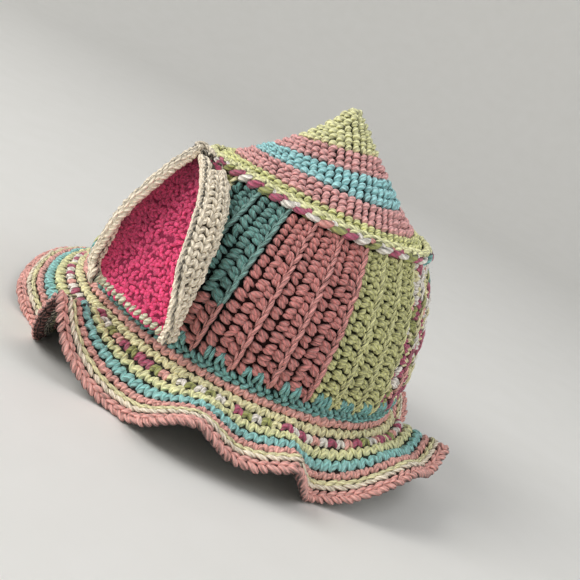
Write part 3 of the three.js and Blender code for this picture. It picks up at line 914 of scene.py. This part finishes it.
loops = Loops(30)
for share, lean, shift in ((0.2, 52, 0.0), (0.7, 128, 0.5)):
    turns = evenly(lambda t, s=share: baseSurface(t * fullTurn, s), base["pitch"], shift) * fullTurn
    loops.add(baseSurface, turns, np.full(len(turns), share), base["loop"],
              yarn["turquoise"], -1.4 * mm, lean, wobble=8)
teeth = np.array(toothTurns)
for side in (-1, 1):
    loops.add(bandSurface, teeth + side * base["toothApart"] * partTurn,
              np.full(len(teeth), base["toothPlace"]), base["tooth"], yarn["turquoise"], -0.3 * mm, -side * 8)
sheet = sheetMesh("base_round_sheet", baseSurface, openRound(96), np.linspace(0, 1, 4),
                  -3.0 * mm, -1.8 * mm, paintedGapShade("turquoise"), True)
knit("base_round_knit", loops, sheet, woolMaterial, ["base_round"])
print("base round")

# Ruffled brim, round by round from the base outwards
brim = {
    "stitchWidth": 5.6 * mm,
    "loopWidth": 3.9 * mm,
    "loopThickness": 5.4 * mm,
    "lean": 24,
    "chainPitch": 6.0 * mm,
    "chainLoop": (3.0 * mm, 8.4 * mm, 3.2 * mm),
    "edgePitch": 5.2 * mm,
    "edgeLoop": (3.4 * mm, 8.2 * mm, 5.0 * mm),
    "groundShade": 0.35,
}
# node, slot, rounds as from, to, colour
brimRounds = [
    ("brim_inner", "yarn_yellow", [
        (0, 0.125, "brimRose"), (0.125, 0.25, "yellow"), (0.25, 0.375, "confetti"),
    ]),
    ("brim_middle", "yarn_turquoise", [
        (0.375, 0.51, "coneLime"), (0.51, 0.65, "brimTurquoise"), (0.65, 0.75, "brimRose"),
    ]),
    ("brim_edge", "yarn_rose", [
        (0.75, 0.87, "chain"), (0.87, 1, "edge"),
    ]),
]
groundTints = {"confetti": "ivory", "chain": "yellow", "edge": "brimRose"}


def brimRow(loops, share, pitch, shift, size, tint, lift, lean, wobble=5, slide=0.0):
    turns = evenly(lambda t: brimSurface(t * fullTurn, share), pitch, shift) * fullTurn
    turns = turns + slide * fullTurn / len(turns)
    tints = tint[np.arange(len(turns)) % len(tint)] if len(tint) > 3 else tint
    loops.add(brimSurface, turns, np.full(len(turns), share), size, tints, lift, lean, wobble=wobble)


# Painted shade: the colour of the ground sheet under each round, the yarn's colour scaled down
def brimGround(rounds):
    starts = [low for low, _, _ in rounds]
    tints = [paintedGapShade(groundTints.get(colour, colour), brim["groundShade"]) for _, _, colour in rounds]
    return lambda shares: np.array(tints)[np.searchsorted(starts, shares + 1e-6, side="right") - 1]


for number, (name, slot, rounds) in enumerate(brimRounds):
    loops = Loops(40 + number)
    for low, high, colour in rounds:
        middle, length = (low + high) / 2, (high - low) * hat["brimWidth"]
        if colour == "chain":
            for face in (-1, 1):
                for side in (-1, 1):
                    brimRow(loops, middle + side * 0.026, brim["chainPitch"], 0.25 * side + 0.25,
                            brim["chainLoop"], yarn["yellow" if side < 0 else "cream"],
                            face * 1.3 * mm, 90 + side * 12)
        elif colour == "edge":
            for side in (-1, 1):
                brimRow(loops, middle + side * 0.03, brim["edgePitch"], 0.25 * side + 0.25,
                        brim["edgeLoop"], yarn["brimRose"], 0.0, 90 + side * 24)
        else:
            tint = loops.runs(400, confetti, 1) if colour == "confetti" else yarn[colour]
            for side in (-1, 1):
                brimRow(loops, middle, brim["stitchWidth"], 0.31 * number,
                        (brim["loopWidth"], length * 1.2, brim["loopThickness"]),
                        tint, 0.0, side * brim["lean"], slide=side * 0.25, wobble=9)
    shares = np.linspace(rounds[0][0], min(rounds[-1][1], 0.97), 13)
    sheet = sheetMesh(name + "_sheet", brimSurface, openRound(240), shares,
                      -0.5 * mm, 0.5 * mm, brimGround(rounds), True)
    knit(name + "_knit", loops, sheet, woolMaterial, [name])
print("brim")


# Ears: rows of loops that follow the rim, a lining inside and a roped edge
earShell = {
    "rows": 10,
    "firstRow": 4.6 * mm,
    "rowPitch": 5.4 * mm,
    "pairApart": 0.24,
    "loopPitch": 4.7 * mm,
    "loop": (3.0 * mm, 6.2 * mm, 4.8 * mm),
    "lean": 30,
    "lift": 1.0 * mm,
    "top": 0.96,
}
earLining = {
    "rows": 34,
    "firstRow": 6.5 * mm,
    "rowPitch": 2.35 * mm,
    "loopPitch": 2.3 * mm,
    "loop": (2.9 * mm, 3.6 * mm, 2.8 * mm),
    "lift": 4.1 * mm,
    "top": 0.95,
    "cupShadeDarkest": 0.26,
}
earEdging = {
    "ropePitch": 4.4 * mm,
    "ropeLoop": (3.5 * mm, 7.4 * mm, 3.6 * mm),
    "ropeOut": 1.7 * mm,
    "faceLoop": (3.5 * mm, 6.6 * mm, 3.6 * mm),
    "faceLean": 34,
    "footPitch": 4.0 * mm,
    "footLoop": (3.4 * mm, 6.8 * mm, 3.8 * mm),
    "footPlace": 0.03,
    "footReach": 0.95,
}


# Path up an ear at a distance in from its rim, as sweeps and heights
def earRow(distance, side, top=1.0):
    heights = np.linspace(0, top, 300)
    roll = ear["rollRadius"] * column(earLevels, heights, 2)
    flat = ear["halfWidth"] * column(earLevels, heights, 1) - roll
    arc = roll * ear["rollTurn"] * column(earLevels, heights, 5) * degree
    place = flat + arc - distance
    keep = place > 0.3 * mm
    onArc = ear["flatShare"] + (1 - ear["flatShare"]) * (place - flat) / arc
    sweep = np.where(place > flat, onArc, ear["flatShare"] * place / flat)
    return side * sweep[keep], heights[keep]


# Sweeps and heights of evenly spaced places along such a path
def earMarks(distance, side, pitch, top):
    sweeps, heights = earRow(distance, side, top)
    if len(heights) < 8:
        return None
    share = np.linspace(0, 1, len(heights))
    marks = evenly(lambda t: earSurface(np.interp(t, share, sweeps), np.interp(t, share, heights)), pitch)
    return np.interp(marks, share, sweeps), np.interp(marks, share, heights)


def addShellRows(loops):
    for row in range(earShell["rows"]):
        for side in (-1, 1):
            for half in (-1, 1):
                distance = earShell["firstRow"] + (row + half * earShell["pairApart"]) * earShell["rowPitch"]
                places = earMarks(distance, side, earShell["loopPitch"], earShell["top"])
                if places:
                    loops.add(earSurface, *places, earShell["loop"], yarn["cream"], earShell["lift"],
                              side * half * earShell["lean"], wobble=7, facing=-1)


# Short fuzzy loops at all angles, darkened by painted shade of the cup towards the ear's upper end
# and towards its negative sweeps
def addLiningRows(loops):
    for row in range(earLining["rows"]):
        for side in (-1, 1):
            distance = earLining["firstRow"] + row * earLining["rowPitch"]
            places = earMarks(distance, side, earLining["loopPitch"], earLining["top"])
            if places:
                sweeps, heights = places
                sweeps = sweeps + loops.random.normal(0, 0.012, len(sweeps))
                heights = heights + loops.random.normal(0, 0.008, len(heights))
                # Painted shade inside the cup: more of it high up, and towards the negative sweeps as the ear
                # rises
                cupShade = np.clip(0.15 - 0.75 * sweeps, 0, 1) * np.clip(heights / 0.4, 0, 1)
                cupShade = np.maximum(cupShade, np.clip((heights - 0.5) / 0.5, 0, 1))
                cupShadeFactor = mix(1.0, earLining["cupShadeDarkest"], cupShade)[:, None]
                loops.add(earSurface, sweeps, heights, earLining["loop"], yarn["pink"] * cupShadeFactor,
                          earLining["lift"], 0, wobble=90, shade=0.14)


# Two roped rows round the rim
def addRope(loops):
    sweeps = np.concatenate([np.ones(200), np.linspace(1, -1, 60), -np.ones(200)])
    heights = np.concatenate([np.linspace(0, 1, 200), np.ones(60), np.linspace(1, 0, 200)])
    share = np.linspace(0, 1, len(sweeps))
    path = lambda t: earSurface(np.interp(t, share, sweeps), np.interp(t, share, heights))
    for row, lift, lean in ((0, 0.6 * mm, 20), (1, 2.6 * mm, -20)):
        marks = evenly(path, earEdging["ropePitch"], 0.5 * row)
        at = path(marks)
        heading = unit(path(np.clip(marks + 0.003, 0, 1)) - path(np.clip(marks - 0.003, 0, 1)))
        u, v = np.interp(marks, share, sweeps), np.interp(marks, share, heights)
        _, _, _, out = surfaceFrame(earSurface, u, v)
        outward = unit(np.cross(heading, out))
        count = len(marks)
        angle = (lean + loops.random.normal(0, 3, count)) * degree
        along = heading * np.cos(angle)[:, None] + out * np.sin(angle)[:, None]
        size = np.tile(earEdging["ropeLoop"], (count, 1)) * (1 + loops.random.normal(0, 0.06, (count, 3)))
        tint = yarn["cream"] * (1 + loops.random.normal(0, 0.05, (count, 1)))
        loops.keep(at + out * lift + outward * earEdging["ropeOut"], along, outward, size, tint)


# Slanted rows on both faces of the rim, inside with small holes between it and the lining
def addFaceRows(loops):
    for side in (-1, 1):
        for distance, lift, top, facing in ((2.6 * mm, 3.5 * mm, 0.97, 1), (0.9 * mm, 0.2 * mm, 0.99, -1)):
            places = earMarks(distance, side, earEdging["ropePitch"], top)
            loops.add(earSurface, *places, earEdging["faceLoop"], yarn["cream"], lift,
                      side * earEdging["faceLean"], wobble=5, facing=facing)


# Rows along the ear's foot that close the cup towards the brim
def addFootRows(loops):
    reach, place = earEdging["footReach"], earEdging["footPlace"]
    path = lambda t: earSurface(t * 2 * reach - reach, place + 0 * t)
    for row, lift, lean in ((0, 1.6 * mm, 20), (1, 4.6 * mm, 30)):
        sweeps = evenly(path, earEdging["footPitch"], 0.5 * row) * 2 * reach - reach
        loops.add(earSurface, sweeps, np.full(len(sweeps), place), earEdging["footLoop"],
                  yarn["cream"] * [0.8, 0.94, 0.86], lift, lean)


for name, mirrored in (("left", False), ("right", True)):
    loops = Loops(60)
    addShellRows(loops)
    # Shell sheet: painted shade in a warm beige, below the cream
    sheet = sheetMesh(f"ear_{name}_shell_sheet", earSurface, np.linspace(-0.98, 0.98, 41),
                      np.linspace(0, 0.99, 31), 1.2 * mm, 2.0 * mm, paintedGapShade("cream", 0.5) * [1, 0.88, 0.72], False)
    knit(f"ear_{name}_shell_knit", loops, sheet, litCreamMaterial, [f"ear_{name}_shell"], mirrored)
    loops = Loops(61)
    addLiningRows(loops)
    # Lining sheet: its colour is raised above the pink, as the material already paints shade on every sheet
    sheet = sheetMesh(f"ear_{name}_lining_sheet", earSurface, np.linspace(-0.86, 0.86, 37),
                      np.linspace(0.01, 0.9, 29), 3.6 * mm, 4.4 * mm, paintedGapShade("pink", 1.2), False)
    knit(f"ear_{name}_lining_knit", loops, sheet, liningMaterial, [f"ear_{name}_lining"], mirrored,
         fibres=3)
    loops = Loops(62)
    addRope(loops)
    addFaceRows(loops)
    addFootRows(loops)
    sheet = sheetMesh(f"ear_{name}_edging_sheet", earSurface, np.linspace(0.96, 1.0, 3),
                      np.linspace(0, 1, 31), 0.8 * mm, 2.4 * mm, paintedGapShade("cream", 0.6), False)
    knit(f"ear_{name}_edging_knit", loops, sheet, litCreamMaterial, [f"ear_{name}_edging"], mirrored)
print("ears")

for thing in [o for o in scene.objects if o.name.endswith("_sheet") or o in (bean, fibre)]:
    bpy.data.objects.remove(thing)
for name, count, faces in knitted:
    print(f"{name}: {count} loops, {faces} faces")


# Studio: a pale floor that curves up into a wall all round, so no edge shows
studio = {"floorRadius": 1.5, "bend": 0.9, "wallTop": 2.4, "sides": 96, "pale": "#eeede9", "palest": "#f3f2ef"}


def backdrop():
    flat, bend, sides = (studio[key] for key in ("floorRadius", "bend", "sides"))
    profile = [(0.0, 0.0), (0.9, 0.0), (flat, 0.0)]
    turns = np.linspace(0.1, math.pi / 2, 14)
    profile += [(flat + bend * math.sin(t), bend - bend * math.cos(t)) for t in turns]
    profile += [(flat + bend, studio["wallTop"])]
    points = [(0, 0, 0)]
    for radius, height in profile[1:]:
        points += [(radius * math.cos(a), radius * math.sin(a), height) for a in openRound(sides)]
    faces = [(0, 1 + i, 1 + (i + 1) % sides) for i in range(sides)]
    for ring in range(len(profile) - 2):
        low, high = 1 + ring * sides, 1 + (ring + 1) * sides
        faces += [(low + i, high + i, high + (i + 1) % sides, low + (i + 1) % sides) for i in range(sides)]
    mesh = bpy.data.meshes.new("floor")
    mesh.from_pydata(points, [], faces)
    mesh.polygons.foreach_set("use_smooth", [True] * len(faces))
    floor = addObject("floor", mesh)
    shader = Shader("pale floor")
    place = shader.node("ShaderNodeTexCoord", {}, {})[3]
    grain = shader.node("ShaderNodeTexNoise", {}, {"Vector": place, "Scale": 30.0, "Detail": 3.0})[0]
    colour = shader.node("ShaderNodeMix", {"data_type": "RGBA"}, {
        "Factor": grain, 6: (*linear(studio["pale"]), 1), 7: (*linear(studio["palest"]), 1)})[2]
    surface = shader.node("ShaderNodeBsdfPrincipled", {}, {"Base Color": colour, "Roughness": 0.8})[0]
    shader.node("ShaderNodeOutputMaterial", {}, {"Surface": surface})
    mesh.materials.append(shader.material)


backdrop()

# Camera at the photograph's angle to the hat, which leans in the picture
camera = {
    "azimuth": 110,
    "elevation": 14.1,
    "roll": 27.4,
    "distance": 0.6,
    "lens": 59.6,
    "sensor": 36,
    "land": (244.7, 317.7),
    "pixels": 580,
}
azimuth, elevation, roll = (camera[key] * degree for key in ("azimuth", "elevation", "roll"))
reach, rise = math.cos(elevation), math.sin(elevation)
back = Vector((math.sin(azimuth) * reach, -math.cos(azimuth) * reach, rise))
level = Vector((math.cos(azimuth), math.sin(azimuth), 0))
upright = back.cross(level)
right = level * math.cos(roll) + upright * math.sin(roll)
above = upright * math.cos(roll) - level * math.sin(roll)
target = Vector((axisX, axisY, bandFloor))
focal = camera["lens"] / camera["sensor"] * camera["pixels"]
slideX = (camera["land"][0] - camera["pixels"] / 2) / focal * camera["distance"]
slideY = (camera["pixels"] / 2 - camera["land"][1]) / focal * camera["distance"]
eye = addObject("camera", bpy.data.cameras.new("camera"))
eye.data.lens = camera["lens"]
eye.data.sensor_width = camera["sensor"]
eye.data.clip_start = 0.01
eye.location = target + back * camera["distance"] - right * slideX - above * slideY
eye.rotation_mode = "QUATERNION"
eye.rotation_quaternion = Matrix((right, above, back)).transposed().to_quaternion()
scene.camera = eye


# Soft light: a large window to the upper left of the picture and a bright room
# direction to the right, the top and the front of the picture, distance, size, power, colour
lamps = {
    "window": ((-0.4, 0.82, 0.4), 2.1, 1.1, 23.5, (1, 0.985, 0.96)),
    "room": ((0.9, 0.5, 0.45), 1.8, 1.2, 8, (0.97, 0.98, 1)),
}
roomGlow = {"Color": (0.9, 0.92, 0.95, 1), "Strength": 0.3}
for name, (aim, distance, size, power, colour) in lamps.items():
    lamp = addObject(name, bpy.data.lights.new(name, "AREA"))
    lamp.data.energy = power
    lamp.data.size = size
    lamp.data.color = colour
    aim = (right * aim[0] + above * aim[1] + back * aim[2]).normalized()
    lamp.location = target + aim * distance
    lamp.rotation_mode = "QUATERNION"
    lamp.rotation_quaternion = aim.to_track_quat("Z", "Y")

world = bpy.data.worlds.new("room")
world.use_nodes = True
for key, value in roomGlow.items():
    world.node_tree.nodes["Background"].inputs[key].default_value = value
scene.world = world
scene.view_settings.view_transform = "Standard"
print("studio")
